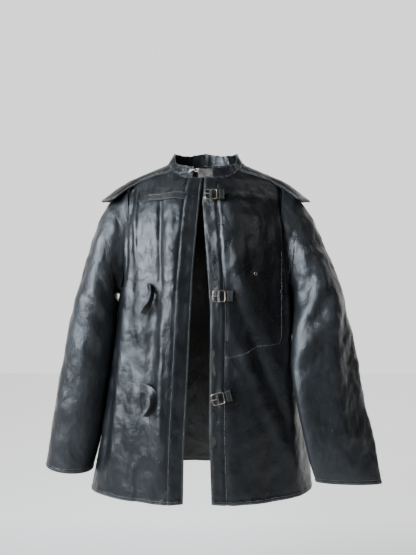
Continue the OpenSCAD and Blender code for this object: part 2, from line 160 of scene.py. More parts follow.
def body_point(angle, z, way):
    """Points of the body surface; way is -1 in front and 1 behind."""
    turn = np.radians(angle)
    x = np.sign(turn) * side_half(turn, z) * np.abs(np.sin(turn)) ** (2 / ROUNDNESS)
    deep = look(FRONT_DEPTH if way < 0 else BACK_DEPTH, z)
    flat = np.clip(np.cos(turn), 0, 1) ** (2 / ROUNDNESS)
    y = way * deep * flat * fill_out(look(SHOULDER, np.abs(x)) - z)
    return np.stack([x, y, np.broadcast_to(z, x.shape)], axis=-1)


def over_shoulder(x, tilt):
    """Points over the shoulder at an angle from the shoulder line, negative in front."""
    turn = np.radians(tilt)
    z = look(SHOULDER, np.abs(x)) - SHOULDER_ROUND * (1 - np.cos(turn))
    deep = np.where(tilt < 0, look(FRONT_DEPTH, z), look(BACK_DEPTH, z))
    width = np.maximum(round_off(x / side_half(x, z)), look(FLAP_WIDTH, np.abs(x)))
    return np.stack([x, deep * width * np.sin(turn), z], axis=-1)


def tilt_of_drop(drop):
    """Angle over the shoulder of a place at a drop below the shoulder line."""
    return math.degrees(math.acos(1 - drop / SHOULDER_ROUND))


def neck_tilt(turn):
    """Angle over the shoulder of the neck seam, by the angle round the neck."""
    top = np.where(np.abs(turn) < 90, FRONT_TILT, BACK_TILT)
    return -top * np.cos(np.radians(turn))


def neck_point(turn):
    """Points of the neck seam, by the angle round the neck from the front."""
    return over_shoulder(NECK_HALF * np.sin(np.radians(turn)), neck_tilt(turn))


# The yoke's front edge from the flap's point to the neck seam, then round the neck.
NECK_TURNS = (58, 72, 90, 115, 140, 162, 180)
YOKE_START = np.array(
    [(FLAP_REACH, -4), (236, -24), (222, -35), (206, -39), (190, -tilt_of_drop(YOKE_DROP + 8))]
    + [(150, -tilt_of_drop(YOKE_DROP)), (112, -tilt_of_drop(YOKE_DROP + 4))]
    + [(NECK_HALF * math.sin(math.radians(a)), float(neck_tilt(a))) for a in NECK_TURNS]
)
# The part of that edge that is sewn to a front panel, from the neck outwards.
FRONT_SEAM = YOKE_START[7::-1]
# The yoke's outer edge behind, from the flap's point to the middle of the back.
BACK_SEAM_X = (178, 160, 140, 118, 96, 72, 48, 24, 0)
YOKE_END = np.array(
    [(FLAP_REACH, 4), (236, 17), (221, 25), (206, 30), (192, 40)]
    + [(x, tilt_of_drop(float(look(SHOULDER, x)) + YOKE_BACK_LOW)) for x in BACK_SEAM_X]
)


def curve_at(points, share):
    """Smooth places along a list of points, at shares from 0 to 1."""
    points = np.asarray(points, float)
    last = len(points) - 1
    at = np.clip(np.asarray(share, float), 0, 1) * last
    i = np.minimum(at.astype(int), last - 1)
    f = (at - i)[..., None]
    a, b, c, d = (points[np.clip(i + k, 0, last)] for k in (-1, 0, 1, 2))
    return 0.5 * (2 * b + (c - a) * f + (2 * a - 5 * b + 4 * c - d) * f**2 + (3 * b - a - 3 * c + d) * f**3)


def crumple(points, size, seed, stretch=(1, 1, 1)):
    """Soft noise from about -1 to 1 at places in millimetres, with features of about that size."""
    flat = points.reshape(-1, 3) / size * np.array(stretch)
    values = [noise.fractal(Vector(p) + Vector((seed, 2 * seed, -seed)), 1.0, 2.0, 3) for p in flat]
    return np.array(values).reshape(points.shape[:-1])


# ---------------------------------------------------------------- mesh helpers


def new_object(name, verts, faces):
    """A mesh object from points in millimetres."""
    mesh = bpy.data.meshes.new(name)
    mesh.from_pydata((np.asarray(verts) * MM).tolist(), [], faces)
    mesh.update()
    mesh.shade_smooth()
    obj = bpy.data.objects.new(name, mesh)
    bpy.context.scene.collection.objects.link(obj)
    return obj


def normals_of(grid, wrap=False):
    """Unit normals of a grid of points."""
    if wrap:
        across = np.roll(grid, -1, 1) - np.roll(grid, 1, 1)
    else:
        across = np.gradient(grid, axis=1)
    down = np.gradient(grid, axis=0)
    n = np.cross(down, across)
    return n / np.maximum(np.linalg.norm(n, axis=-1, keepdims=True), 1e-9)


def grid_object(name, grid, thick, wrap=False):
    """A sheet from a grid of points, thickened away from its normals."""
    rows, cols = grid.shape[:2]
    wide = cols if wrap else cols - 1
    faces = [
        ((i + 1) * cols + j, (i + 1) * cols + (j + 1) % cols, i * cols + (j + 1) % cols, i * cols + j)
        for i in range(rows - 1)
        for j in range(wide)
    ]
    obj = new_object(name, grid.reshape(-1, 3), faces)
    solid = obj.modifiers.new("thick", "SOLIDIFY")
    solid.thickness = thick * MM
    solid.offset = -1
    solid.use_even_offset = False
    sharp = obj.modifiers.new("sharp", "EDGE_SPLIT")
    sharp.split_angle = math.radians(50)
    return obj


def resample(points, normals, pitch):
    """Evenly spaced places along a line, with their directions and normals."""
    steps = np.concatenate([[0], np.cumsum(np.linalg.norm(np.diff(points, axis=0), axis=1))])
    at = np.arange(pitch / 2, steps[-1], pitch)
    place = np.stack([np.interp(at, steps, points[:, k]) for k in range(3)], axis=1)
    normal = np.stack([np.interp(at, steps, normals[:, k]) for k in range(3)], axis=1)
    ahead = np.stack([np.interp(at + 1, steps, points[:, k]) for k in range(3)], axis=1)
    behind = np.stack([np.interp(at - 1, steps, points[:, k]) for k in range(3)], axis=1)
    along = ahead - behind
    return place, along, normal


# One stitch: rings along it as (share of the length, share of the radius, rise), and its sides.
STITCH_RINGS = ((-0.5, 0.35, -0.5), (-0.3, 0.9, 0.1), (0.3, 0.9, 0.1), (0.5, 0.35, -0.5))
STITCH_SIDES = 6
STITCH_LIFT = 0.15
FINE_STITCH = {"pitch": 2.6, "long": 2.0, "radius": 0.38}


def stitch_mesh(verts, faces, place, along, across, normal, long, radius):
    """Adds one small rounded stitch to the lists of points and faces."""
    start = len(verts)
    for share, wide, rise in STITCH_RINGS:
        for k in range(STITCH_SIDES):
            turn = 2 * math.pi * k / STITCH_SIDES
            out = across * math.cos(turn) + normal * math.sin(turn)
            centre = place + along * share * long + normal * (STITCH_LIFT + rise * radius)
            verts.append(centre + out * wide * radius)
    for r in range(len(STITCH_RINGS) - 1):
        for k in range(STITCH_SIDES):
            a = start + r * STITCH_SIDES + k
            b = start + r * STITCH_SIDES + (k + 1) % STITCH_SIDES
            faces.append((a, b, b + STITCH_SIDES, a + STITCH_SIDES))
    last = start + (len(STITCH_RINGS) - 1) * STITCH_SIDES
    faces.append(tuple(start + k for k in reversed(range(STITCH_SIDES))))
    faces.append(tuple(last + k for k in range(STITCH_SIDES)))


def stitch_object(name, lines, pitch=3.4, long=2.5, radius=0.42):
    """Sewn thread: a row of stitches along each (points, normals) line."""
    verts, faces = [], []
    for points, normals in lines:
        for place, along, normal in zip(*resample(points, normals, pitch)):
            if np.linalg.norm(along) < 1e-6:
                continue
            along = along / np.linalg.norm(along)
            normal = normal - along * normal.dot(along)
            normal = normal / max(np.linalg.norm(normal), 1e-9)
            across = np.cross(along, normal)
            stitch_mesh(verts, faces, place, along, across, normal, long, radius)
    obj = new_object(name, verts, faces)
    return finish_piece(obj, THREAD)


def surface_line(grid, rows, cols, out=0.0):
    """A line through a grid of points at fractional rows and columns, with its normals."""
    normals = normals_of(grid)
    rows, cols = np.broadcast_arrays(np.asarray(rows, float), np.asarray(cols, float))
    i = np.clip(rows.astype(int), 0, grid.shape[0] - 2)
    j = np.clip(cols.astype(int), 0, grid.shape[1] - 2)
    fi, fj = (rows - i)[:, None], (cols - j)[:, None]

    def sample(values):
        top = values[i, j] * (1 - fj) + values[i, j + 1] * fj
        low = values[i + 1, j] * (1 - fj) + values[i + 1, j + 1] * fj
        return top * (1 - fi) + low * fi

    normal = sample(normals)
    return sample(grid) + normal * out, normal


# ---------------------------------------------------------------- materials


def new_material(name, rough, metal=0.0, coat=0.0, sheen=0.0):
    """A material, its node tree and its shader."""
    material = bpy.data.materials.new(name)
    material.use_nodes = True
    shader = material.node_tree.nodes["Principled BSDF"]
    shader.inputs["Roughness"].default_value = rough
    shader.inputs["Metallic"].default_value = metal
    shader.inputs["Coat Weight"].default_value = coat
    shader.inputs["Coat Roughness"].default_value = 0.3
    shader.inputs["Sheen Weight"].default_value = sheen
    return material, material.node_tree, shader


def noise_node(tree, scale, detail=4.0, stretch=(1, 1, 1), distortion=0.0):
    """Noise in object space, in features per metre."""
    coordinates = tree.nodes.new("ShaderNodeTexCoord")
    mapping = tree.nodes.new("ShaderNodeMapping")
    mapping.inputs["Scale"].default_value = stretch
    texture = tree.nodes.new("ShaderNodeTexNoise")
    texture.inputs["Scale"].default_value = scale
    texture.inputs["Detail"].default_value = detail
    texture.inputs["Distortion"].default_value = distortion
    tree.links.new(coordinates.outputs["Object"], mapping.inputs["Vector"])
    tree.links.new(mapping.outputs["Vector"], texture.inputs["Vector"])
    return texture


def cell_node(tree, scale):
    """The creases between the pebbles of a leather grain."""
    coordinates = tree.nodes.new("ShaderNodeTexCoord")
    texture = tree.nodes.new("ShaderNodeTexVoronoi")
    texture.feature = "DISTANCE_TO_EDGE"
    texture.inputs["Scale"].default_value = scale
    tree.links.new(coordinates.outputs["Object"], texture.inputs["Vector"])
    return texture


def ramp(tree, source, stops):
    """A colour ramp from a value output; stops are (place, colour)."""
    node = tree.nodes.new("ShaderNodeValToRGB")
    while len(node.color_ramp.elements) < len(stops):
        node.color_ramp.elements.new(0.5)
    for element, (place, colour) in zip(node.color_ramp.elements, stops):
        element.position = place
        element.color = (*colour, 1)
    tree.links.new(source, node.inputs["Fac"])
    return node


def bump(tree, height, distance, strength, under=None):
    """Relief from a height output, in metres, on top of another bump."""
    node = tree.nodes.new("ShaderNodeBump")
    node.inputs["Distance"].default_value = distance
    node.inputs["Strength"].default_value = strength
    tree.links.new(height, node.inputs["Height"])
    if under is not None:
        tree.links.new(under.outputs["Normal"], node.inputs["Normal"])
    return node


def worn_edges(tree, under, colour, low=0.52, high=0.6):
    """Mixes a worn colour over another where the surface is sharply convex."""
    geometry = tree.nodes.new("ShaderNodeNewGeometry")
    mask = ramp(tree, geometry.outputs["Pointiness"], ((low, (0, 0, 0)), (high, (1, 1, 1))))
    mix = tree.nodes.new("ShaderNodeMix")
    mix.data_type = "RGBA"
    mix.inputs[7].default_value = (*colour, 1)
    tree.links.new(mask.outputs["Color"], mix.inputs["Factor"])
    tree.links.new(under, mix.inputs[6])
    return mix.outputs[2]


def leather(name, dark, light, rough=(0.3, 0.5), crease=0.7, coat=0.1, worn=(0.045, 0.046, 0.048)):
    """Pigmented leather: pebbled grain, fine creases, mottled colour, and rubbed edges."""
    material, tree, shader = new_material(name, 0.4, coat=coat)
    link = tree.links.new
    mottle = noise_node(tree, 9, 5, distortion=0.4)
    colour = ramp(tree, mottle.outputs["Fac"], ((0.3, dark), (0.7, light)))
    link(worn_edges(tree, colour.outputs["Color"], worn), shader.inputs["Base Color"])
    patches = noise_node(tree, 26, 6)
    low, high = rough
    gloss = ramp(tree, patches.outputs["Fac"], ((0.35, (low,) * 3), (0.68, (high,) * 3)))
    link(gloss.outputs["Color"], shader.inputs["Roughness"])
    folds = noise_node(tree, 30, 8, stretch=(1, 1, 0.7), distortion=0.5)
    grain = cell_node(tree, 300)
    pores = noise_node(tree, 1500, 2)
    rough_bump = bump(tree, folds.outputs["Fac"], 0.007, crease)
    grain_bump = bump(tree, grain.outputs["Distance"], 0.0012, 0.4, rough_bump)
    pore_bump = bump(tree, pores.outputs["Fac"], 0.0002, 0.3, grain_bump)
    link(pore_bump.outputs["Normal"], shader.inputs["Normal"])
    return material


def worn_metal(name, bright, dark):
    """Old wire hardware: bright where it rubs, brown in the corners, finely scratched."""
    material, tree, shader = new_material(name, 0.4, metal=1.0)
    link = tree.links.new
    tarnish = noise_node(tree, 260, 6, distortion=0.8)
    colour = ramp(tree, tarnish.outputs["Fac"], ((0.36, dark), (0.62, bright)))
    rubbed = worn_edges(tree, colour.outputs["Color"], (0.75, 0.62, 0.5), 0.5, 0.56)
    link(rubbed, shader.inputs["Base Color"])
    scratch = noise_node(tree, 900, 4, stretch=(1, 1, 0.2))
    gloss = ramp(tree, scratch.outputs["Fac"], ((0.3, (0.22,) * 3), (0.7, (0.5,) * 3)))
    link(gloss.outputs["Color"], shader.inputs["Roughness"])
    link(bump(tree, scratch.outputs["Fac"], 0.0002, 0.4).outputs["Normal"], shader.inputs["Normal"])
    return material


def woven(name, dark, light):
    """Tape with a fine weave."""
    material, tree, shader = new_material(name, 0.85, sheen=0.3)
    wave = tree.nodes.new("ShaderNodeTexWave")
    wave.inputs["Scale"].default_value = 260
    wave.inputs["Distortion"].default_value = 1.5
    coordinates = tree.nodes.new("ShaderNodeTexCoord")
    tree.links.new(coordinates.outputs["Object"], wave.inputs["Vector"])
    stain = noise_node(tree, 90, 5)
    colour = ramp(tree, stain.outputs["Fac"], ((0.35, dark), (0.65, light)))
    tree.links.new(colour.outputs["Color"], shader.inputs["Base Color"])
    tree.links.new(bump(tree, wave.outputs["Fac"], 0.0005, 0.6).outputs["Normal"], shader.inputs["Normal"])
    return material


def thread_material():
    """Grey waxed thread with a twist."""
    material, tree, shader = new_material("thread", 0.6, sheen=0.2)
    dirt = noise_node(tree, 120, 4)
    colour = ramp(tree, dirt.outputs["Fac"], ((0.35, (0.07, 0.07, 0.068)), (0.7, (0.24, 0.236, 0.225))))
    tree.links.new(colour.outputs["Color"], shader.inputs["Base Color"])
    twist = noise_node(tree, 2400, 2)
    tree.links.new(bump(tree, twist.outputs["Fac"], 0.0002, 0.5).outputs["Normal"], shader.inputs["Normal"])
    return material


THREAD = thread_material()
PANEL = leather("panel_leather", (0.0045, 0.005, 0.006), (0.009, 0.0098, 0.0115))
# Calm leather: the panel leather with softer creases and a smoother gloss, and a darker colour, which is
# painted shade for the left front that faces away from the window and for the inside of the collar.
CALM_PAINTED_SHADE = leather(
    "calm_leather_painted_shade", (0.004, 0.0042, 0.005), (0.0075, 0.008, 0.009), rough=(0.24, 0.4), crease=0.4
)
# Sleeve leather: rougher than the panels and about twice as light; the lighter colour is painted sheen,
# standing in for the broad highlight of the window on the sleeves.
SLEEVE_PAINTED_SHEEN = leather(
    "sleeve_leather_painted_sheen", (0.009, 0.0096, 0.0105), (0.018, 0.0192, 0.021), rough=(0.34, 0.5), crease=0.6
)
FLESH = leather("flesh_side", (0.014, 0.0115, 0.009), (0.036, 0.029, 0.023), rough=(0.4, 0.62))
STRAP = leather(
    "strap_leather", (0.009, 0.009, 0.009), (0.02, 0.0195, 0.019), crease=0.5, worn=(0.07, 0.068, 0.064)
)
RAW = leather("raw_edge", (0.012, 0.011, 0.010), (0.028, 0.026, 0.024), rough=(0.75, 0.9), coat=0)
METAL = worn_metal("buckle_metal", (0.5, 0.38, 0.27), (0.13, 0.085, 0.06))
HOOK = worn_metal("hook_metal", (0.62, 0.52, 0.38), (0.2, 0.14, 0.09))
TAPE = woven("tab_tape", (0.05, 0.044, 0.036), (0.13, 0.115, 0.095))


def finish_piece(obj, material, body="jacket", nodes=()):
    """Gives a piece its material, slot, body and the CAD nodes that it stands for."""
    obj.data.materials.append(material)
    if body:
        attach(obj, body)
    if nodes:
        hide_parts(*nodes)
    return obj


def show_flesh_side(obj):
    """The back of the leather shows its rough flesh side."""
    obj.data.materials.append(FLESH)
    obj.modifiers["thick"].material_offset = 1


def dress_node(name, material):
    """A metal piece keeps its CAD shape and gets a worn material."""
    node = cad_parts[name]
    node.data.materials.clear()
    node.data.materials.append(material)
    node.data.shade_smooth()


# ---------------------------------------------------------------- body panels

# Shares of the height at which a panel has a row: closest where the armhole turns in.
LEVELS = np.concatenate([np.linspace(0, 0.27, 46), np.linspace(0.275, 0.4, 34), np.linspace(0.41, 1, 100)])


# Long folds as (x at the top, x at the bottom, width, height, upper end, lower end).
RIGHT_FOLDS = (
    (-100, -94, 6, -4, -70, -300),
    (-140, -138, 26, 3, -90, -420),
    (-70, -84, 17, 4, -110, -430),
    (-112, -118, 16, -7, -290, -560),
    (-92, -96, 8, 4, -330, -600),
    (-165, -205, 13, 7, -110, -700),
    (-186, -232, 9, -6, -240, -690),
    (-95, -100, 22, 6, -430, -700),
    (-150, -176, 26, 5, -480, -760),
    (-156, -150, 5, 4, -40, -230),
    (-168, -172, 4.5, -4, -50, -260),
)
LEFT_FOLDS = (
    (160, 200, 16, 6, -120, -700),
    (60, 84, 18, 4, -90, -330),
    (172, 178, 5, -4, -50, -260),
    (120, 150, 24, -5, -400, -760),
    (40, 66, 20, 4, -480, -760),
)
BACK_FOLDS = (
    (-95, -120, 26, 6, -150, -760),
    (90, 110, 24, 6, -170, -760),
    (0, 12, 34, -7, -260, -760),
    (-165, -200, 14, 5, -180, -700),
    (168, 196, 14, 5, -160, -700),
)
# Slanting folds of the left front as (place, width, height, lower fade, upper fade).
LEFT_SLANTS = (
    (95, 20, 3.2, (-560, -420), (-120, -220)),
    (30, 16, 3.6, (-700, -560), (-330, -420)),
    (60, 12, -3.0, (-700, -520), (-240, -350)),
)


def long_fold(x, z, top, low, width, height, start, end):
    """A long fold whose middle runs from x = top to x = low between two heights."""
    t = np.clip((start - z) / (start - end), 0, 1)
    centre = top + (low - top) * t
    fade = smooth(start + 20, start - 50, z) * smooth(end - 40, end + 60, z)
    return height * hump(x, centre, width) * fade


def folds_at(table, x, z):
    """Depth of all the long folds in a table."""
    return sum(long_fold(x, z, *fold) for fold in table)


def right_folds(x, z):
    """Folds of the right front: long and almost upright."""
    return folds_at(RIGHT_FOLDS, x, z)


def left_folds(x, z):
    """Folds of the left front: softer, and partly slanting."""
    slant = x + 0.42 * (z + 300)
    depth = folds_at(LEFT_FOLDS, x, z)
    for place, width, height, low, high in LEFT_SLANTS:
        depth = depth + height * hump(slant, place, width) * smooth(*low, z) * smooth(*high, z)
    return depth


# How far each front stands out from the chest, by the distance from its front edge: -1 is the right one.
PLACKET_LEAN = {-1: ((0, 34, 100), (0, 9, 0)), 1: ((0, 80), (-4, 0))}


def placket_groove(inside):
    """The facing's topstitch pulls a groove, and the edge is a rounded fold."""
    groove = -2.0 * hump(inside, FACING_W, 2.6) + 0.9 * hump(inside, FACING_W - 7, 5)
    return groove - 1.0 * hump(inside, 0, 2.0)


def hem_groove(z, low):
    """The hem's topstitch pulls a groove above a fuller edge."""
    return -0.9 * hump(z, low + 11, 2.2) + 0.6 * hump(z, low + 5, 3.5)


# The width of a front panel at its top edge, and how far it laps under the seam there.
PANEL_TOP_W = 178
SEAM_LAP = 3


def front_top(x):
    """Height of a front panel's top edge: the collar seam, then the yoke seam."""
    turn = np.degrees(np.arcsin(np.minimum(x / NECK_HALF, 1)))
    seam = np.interp(x, FRONT_SEAM[:, 0], FRONT_SEAM[:, 1])
    tilt = np.where(x < NECK_HALF * math.sin(math.radians(NECK_TURNS[0])), neck_tilt(turn), seam)
    return over_shoulder(x, tilt)[..., 2]


def front_point(side, table, share, z):
    """Points of a front panel at shares of its width, from the front edge outwards."""
    start = angle_at(look(table, z), z)
    spread = share * (1.15 - 0.15 * share)
    angle = start + (side * (look(ARMHOLE, z) + 1.5) - start) * spread
    return body_point(np.clip(angle, -90, 90), z, -1)


def panel_grid(side, cols=100):
    """One front panel as a grid of points, from its front edge to its armhole and side seam."""
    table = RIGHT_EDGE if side < 0 else LEFT_EDGE
    share = np.linspace(0, 1, cols)[None, :]
    x = side * PANEL_TOP_W * share
    for _ in range(8):
        top = front_top(np.abs(x))
        x = (x + front_point(side, table, share, top)[..., 0]) / 2
    low = -HEM_DROP + (14 - 14 * share**2 - 8 * share**4 if side < 0 else 11 - 5 * share**2)
    z = top + SEAM_LAP + (low - top - SEAM_LAP) * LEVELS[:, None]
    points = front_point(side, table, share, z)
    x = points[..., 0]
    inside = np.abs(x - look(table, z))
    folds = right_folds(x, z) if side < 0 else left_folds(x, z)
    at_side = 0.35 + 0.65 * smooth(90, 80, np.abs(angle_at(x, z)))
    calm = smooth(0, FACING_W + 1, inside) * smooth(-30, -80, z) * at_side
    depth = folds * calm + placket_groove(inside) + hem_groove(z, low)
    depth += look(PLACKET_LEAN[side], inside) * smooth(-45, -110, z)
    depth += 2.2 * crumple(points, 75, 3 + side, (1.3, 1.3, 0.7)) * smooth(-40, -90, z)
    creases = 1.3 if side < 0 else 0.8
    depth += creases * crumple(points, 26, 7 + side, (1.1, 1.1, 0.8)) * smooth(-40, -70, z)
    normal = normals_of(points) * (1 if side > 0 else -1)
    points = points + normal * depth[..., None]
    return points if side > 0 else points[:, ::-1]


def back_grid(cols=190):
    """The back panel as a grid of points, from side seam to side seam."""
    share = np.linspace(1, -1, cols)[None, :]
    low = -HEM_DROP + 6 * np.maximum(0, share) ** 2 - 8 * np.minimum(0, share) ** 4
    top = -YOKE_BACK_LOW + 6
    z = top + (low - top) * LEVELS[:, None]
    angle = share * (look(ARMHOLE, z) + 1.0)
    points = body_point(np.clip(angle, -90, 90), z, 1)
    x = points[..., 0]
    folds = folds_at(BACK_FOLDS, x, z)
    depth = folds * smooth(-80, -170, z) * smooth(90, 78, np.abs(angle)) + hem_groove(z, low)
    depth += 2.4 * crumple(points, 80, 12, (1.4, 1.4, 0.5)) * smooth(-70, -120, z)
    depth += 0.7 * crumple(points, 22, 17) * smooth(-70, -110, z)
    return points + normals_of(points) * depth[..., None]


def build_panels():
    """The two fronts and the back; gives back the left front's grid."""
    right, left, back = panel_grid(-1), panel_grid(1), back_grid()
    for name, grid, node, flat, material in (
        ("visual_front_right", right, "front_right_panel", (0.33, 0.74), PANEL),
        # The left front's darker leather is painted shade.
        ("visual_front_left", left, "front_left_panel", (0.36, 0.74), CALM_PAINTED_SHADE),
        ("visual_back", back, "back_panel", (0.66, 0.68), PANEL),
    ):
        obj = finish_piece(grid_object(name, grid, LEATHER), material, nodes=(node,))
        show_flesh_side(obj)
    stitch_panels(right, left, back)
    return left


def columns_at(grid, distance, from_end):
    """The fractional column at a distance from one side of a grid, for each row."""
    steps = np.linalg.norm(np.diff(grid, axis=1), axis=-1)
    if from_end:
        steps = steps[:, ::-1]
    run = np.concatenate([np.zeros((len(grid), 1)), np.cumsum(steps, axis=1)], axis=1)
    at = np.array([np.interp(distance, row, np.arange(len(row))) for row in run])
    return grid.shape[1] - 1 - at if from_end else at


def stitch_panels(right, left, back):
    """Topstitching along the front edges, the facings and the hem."""
    rows = np.arange(4, len(LEVELS) - 1.0)
    seams = []
    for grid, end in ((right, True), (left, False)):
        for distance in (3, FACING_W):
            seams.append(surface_line(grid, rows, columns_at(grid, distance, end)[4:-1]))
    for grid in (right, left, back):
        across = np.arange(2, grid.shape[1] - 2.0)
        for row in (len(LEVELS) - 2.6, len(LEVELS) - 1.6):
            seams.append(surface_line(grid, row, across))
    stitch_object("stitch_fronts_and_hem", seams)


# ---------------------------------------------------------------- yoke


def yoke_grid(fine=7, rows=44):
    """The yoke as a grid: columns fan round the neck, rows run from the front and neck edge to the back."""
    share = np.linspace(0, 1, (len(YOKE_START) - 1) * fine + 1)
    at = share * (len(YOKE_START) - 1)
    k = np.arange(len(YOKE_START))
    start = np.stack([np.interp(at, k, YOKE_START[:, c]) for c in (0, 1)], axis=1)
    end = np.stack([np.interp(at, k, YOKE_END[:, c]) for c in (0, 1)], axis=1)
    start = np.concatenate([start, start[-2::-1] * (-1, 1)])
    end = np.concatenate([end, end[-2::-1] * (-1, 1)])
    t = np.linspace(0, 1, rows)[:, None]
    x = start[:, 0] * (1 - t) + end[:, 0] * t
    tilt = start[:, 1] * (1 - t) + end[:, 1] * t
    points = over_shoulder(x, tilt)
    x = points[..., 0]
    lift = 1.6 + 1.6 * hump(np.abs(x), 205, 26) + 1.1 * crumple(points, 38, 21, (0.6, 1.3, 1.2))
    lift = lift + 0.5 * crumple(points, 14, 24) - 0.7 * hump(np.arange(rows)[:, None], 3.5, 1.3)
    lift = lift - 0.7 * hump(np.arange(rows)[:, None], rows - 3.5, 1.3)
    return points + normals_of(points) * np.maximum(lift, 0.5)[..., None]


def build_yoke():
    """The yoke with two rows of stitches along each edge."""
    grid = yoke_grid()
    obj = finish_piece(grid_object("visual_yoke", grid, LEATHER), PANEL, nodes=("yoke",))
    show_flesh_side(obj)
    columns = np.arange(2, grid.shape[1] - 2.0)
    rows = grid.shape[0] - 1
    lines = [surface_line(grid, r, columns) for r in (0.9, 2.1, rows - 0.9, rows - 2.1)]
    stitch_object("stitch_yoke", lines)


# ---------------------------------------------------------------- sleeves

# Each ring: its outer point, its inner point and its half depth. X is the distance from the middle.
RIGHT_STATIONS = (
    ((188, 2, -46), (205, 2, -301), 58),
    ((219, 1, -73), (210, 0, -303), 62),
    ((246, 0, -112), (209, -2, -308), 64),
    ((271, -2, -180), (211, -5, -322), 64),
    ((295, -6, -263), (214, -8, -348), 64),
    ((315, -8, -346), (218, -10, -397), 60),
    ((332, -10, -430), (226, -12, -460), 57),
    ((346, -10, -514), (236, -14, -530), 54),
    ((362, -10, -618), (250, -15, -625), 50),
    ((375, -10, -698), (266, -15, -711), 47),
)
LEFT_STATIONS = (
    ((188, 2, -46), (201, 2, -301), 58),
    ((219, 1, -73), (204, -3, -303), 60),
    ((247, -2, -112), (203, -12, -308), 60),
    ((277, -5, -180), (204, -32, -322), 58),
    ((306, -12, -263), (203, -60, -348), 54),
    ((327, -24, -346), (197, -90, -397), 43),
    ((343, -38, -430), (192, -102, -456), 32),
    ((355, -52, -514), (199, -112, -522), 26),
    ((373, -72, -630), (220, -114, -626), 21),
    ((388, -86, -714), (237, -108, -702), 18),
)
# How far the armhole's front and back curve in towards the chest.
SADDLE = 14
# Height of the long ridge down the front of the left sleeve.
RIDGE = 7
# How far the inner side of a sleeve is filled out, so that it rests on the body.
REST_AGAINST = 4.6


def sleeve_grid(stations, side, rows=150, cols=120):
    """A sleeve as rings from the armhole to the cuff, with its creases."""
    t = np.linspace(0, 1, rows)
    outer = curve_at([s[0] for s in stations], t)
    inner = curve_at([s[1] for s in stations], t)
    deep = curve_at([(s[2],) for s in stations], t)[:, 0]
    middle, reach = (outer + inner) / 2, (outer - inner) / 2
    front = np.cross(np.gradient(middle, axis=0), reach)
    front /= np.linalg.norm(front, axis=1, keepdims=True)
    turn = np.linspace(0, 2 * math.pi, cols, endpoint=False)[None, :, None]
    forward = front * deep[:, None]
    points = middle[:, None] + reach[:, None] * np.cos(turn) + forward[:, None] * np.sin(turn)
    points[..., 0] -= SADDLE * np.maximum(0, 1 - 6 * t)[:, None] * np.sin(turn[..., 0]) ** 2
    depth = sleeve_folds(points, t[:, None], turn[..., 0], side)
    points = points * (side, 1, 1)
    if side > 0:
        points = points[:, ::-1]
        depth = depth[:, ::-1]
    return points + normals_of(points, wrap=True) * depth[..., None]


def sleeve_folds(points, t, turn, side):
    """Creases that gather inside the elbow and run up to the outer edge, and the cuff's hem."""
    calm = smooth(0, 0.1, t) * smooth(1, 0.9, t)
    slant = t + 0.055 * np.cos(turn) + 0.02 * np.sin(turn)
    strong = 1.0 if side < 0 else 1.5
    elbow = hump(t, 0.55, 0.2)
    depth = strong * 3.4 * np.sin(2 * math.pi * slant * 7.5) * elbow * (0.5 - 0.5 * np.cos(turn))
    depth += strong * 3.0 * crumple(points, 62, 31 + side, (1.1, 1.1, 0.85))
    depth += 3.2 * crumple(points, 120, 35 + side, (1.4, 1.4, 0.35))
    depth += strong * 0.9 * crumple(points, 20, 41 + side)
    if side > 0:
        ridge = np.degrees(np.arctan2(np.sin(turn - math.pi / 2), np.cos(turn - math.pi / 2)))
        depth += RIDGE * hump(ridge, -8 + 14 * t, 20) * smooth(0.1, 0.3, t)
    cuff = -1.0 * hump(t, 0.982, 0.004) + 0.5 * hump(t, 0.992, 0.006)
    inner = hump(turn, math.pi, 0.75) * smooth(0.24, 0.34, t)
    depth = depth * (1 - inner) + REST_AGAINST * inner
    return depth * calm + cuff * (1 + 0.5 * np.sin(turn * 21))


def build_sleeve(stations, side):
    """One sleeve, from the armhole to the cuff, in place of its upper and lower parts."""
    word = "right" if side < 0 else "left"
    grid = sleeve_grid(stations, side)
    obj = grid_object(f"visual_sleeve_{word}", grid, LEATHER, wrap=True)
    nodes = (f"sleeve_{word}_upper", f"sleeve_{word}_lower")
    # The sleeve leather's lighter colour is painted sheen.
    finish_piece(obj, SLEEVE_PAINTED_SHEEN, body=None, nodes=nodes)
    show_flesh_side(obj)
    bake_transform(obj)
    closed = np.concatenate([grid, grid[:, :1]], axis=1)
    around = np.linspace(0, closed.shape[1] - 1.01, 160)
    rows = len(grid) - 1
    lines = [surface_line(closed, r, around) for r in (rows - 1.4, rows - 2.8)]
    thread = stitch_object(f"stitch_cuff_{word}", lines)
    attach(thread, f"sleeve_{word}")


# ---------------------------------------------------------------- collar


def collar_point(turn, share):
    """Points of the collar at angles round the neck and shares of its height."""
    base = neck_point(turn)
    turn, share = np.broadcast_arrays(turn, share)
    lean = 1 - 0.17 * share * (1 - 0.4 * np.cos(np.radians(turn)) ** 2)
    x, y = base[..., 0] * lean, base[..., 1] * lean + 3 * share
    foot = base[..., 2] + 1
    return np.stack([x, y, foot + (look(COLLAR_TOP, np.abs(turn)) - foot) * share], axis=-1)


def collar_grid(start, end, rows=16, cols=220):
    """The collar as a grid from its top edge down, gently ruffled, between two angles."""
    turn = np.linspace(start, end, cols)[None, :]
    turn = np.where(turn < -180, turn + 360, turn)
    share = np.linspace(1, 0, rows)[:, None]
    points = collar_point(turn, share)
    wave = crumple(points, 17, 51, (1.2, 1.2, 0.4)) * (0.5 + 0.9 * share)
    points[..., 2] += 1.6 * crumple(points, 12, 54, (1, 1, 0.1)) * share
    return points + normals_of(points) * (1.3 * wave)[..., None]


